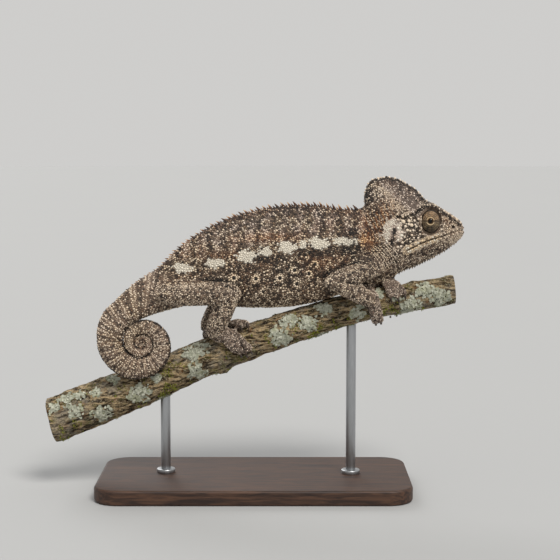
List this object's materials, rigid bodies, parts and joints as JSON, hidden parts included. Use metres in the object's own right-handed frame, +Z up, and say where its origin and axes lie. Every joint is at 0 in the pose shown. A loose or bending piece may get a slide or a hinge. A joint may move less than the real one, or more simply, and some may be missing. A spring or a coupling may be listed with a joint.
{
  "type": "chameleon display model",
  "caption": "Life-size still model of a Malagasy giant chameleon walking up a cut branch, tail coiled, on a flat stand with two rods.",
  "frame": {"origin": "on the underside of the stand, below the middle of the model's bounding box", "axes": "+X the way the animal faces, +Y to its left, +Z up"},
  "size_m": [0.3374, 0.116, 0.2525],
  "materials": {
    "body_skin": "matt scaly skin, dark brown with cream and rust granules and a broken pale side stripe",
    "limb_skin": "matt scaly skin, greyish brown with cream dots",
    "eyelid": "fine-scaled brown lids with a pale golden rim",
    "eye": "glossy dark eye with a golden iris",
    "claw": "dark horn",
    "bark": "rough brown bark with pale grey-green lichen",
    "rod_steel": "brushed",
    "board": "dark stained hardwood, satin varnish"
  },
  "bodies": {
    "root": {"head": "body_skin", "lower_jaw": "body_skin", "casque": "body_skin", "eye_turret_right": "eyelid", "eyeball_right": "eye", "eye_turret_left": "eyelid", "eyeball_left": "eye", "neck": "body_skin", "trunk_front": "body_skin", "trunk_rear": "body_skin", "tail_root": "body_skin", "tail_bow": "body_skin", "tail_coil_outer": "body_skin", "tail_coil_inner": "body_skin", "tail_tip": "body_skin", "foreleg_right_upper": "limb_skin", "foreleg_right_lower": "limb_skin", "foreleg_right_palm": "limb_skin", "foreleg_right_toes_outer": "limb_skin", "foreleg_right_toes_inner": "limb_skin", "foreleg_right_claw_outer_1": "claw", "foreleg_right_claw_outer_2": "claw", "foreleg_right_claw_inner_1": "claw", "foreleg_right_claw_inner_2": "claw", "foreleg_right_claw_inner_3": "claw", "foreleg_left_upper": "limb_skin", "foreleg_left_lower": "limb_skin", "foreleg_left_palm": "limb_skin", "foreleg_left_toes_outer": "limb_skin", "foreleg_left_toes_inner": "limb_skin", "foreleg_left_claw_outer_1": "claw", "foreleg_left_claw_outer_2": "claw", "foreleg_left_claw_inner_1": "claw", "foreleg_left_claw_inner_2": "claw", "foreleg_left_claw_inner_3": "claw", "hindleg_right_upper": "limb_skin", "hindleg_right_lower": "limb_skin", "hindleg_right_palm": "limb_skin", "hindleg_right_toes_outer": "limb_skin", "hindleg_right_toes_inner": "limb_skin", "hindleg_right_claw_outer_1": "claw", "hindleg_right_claw_outer_2": "claw", "hindleg_right_claw_outer_3": "claw", "hindleg_right_claw_inner_1": "claw", "hindleg_right_claw_inner_2": "claw", "hindleg_left_upper": "limb_skin", "hindleg_left_lower": "limb_skin", "hindleg_left_palm": "limb_skin", "hindleg_left_toes_outer": "limb_skin", "hindleg_left_toes_inner": "limb_skin", "hindleg_left_claw_outer_1": "claw", "hindleg_left_claw_outer_2": "claw", "hindleg_left_claw_outer_3": "claw", "hindleg_left_claw_inner_1": "claw", "hindleg_left_claw_inner_2": "claw", "perch_branch": "bark", "stand_rod_front": "rod_steel", "stand_rod_rear": "rod_steel", "stand_base": "board"}
  },
  "joints": []
}
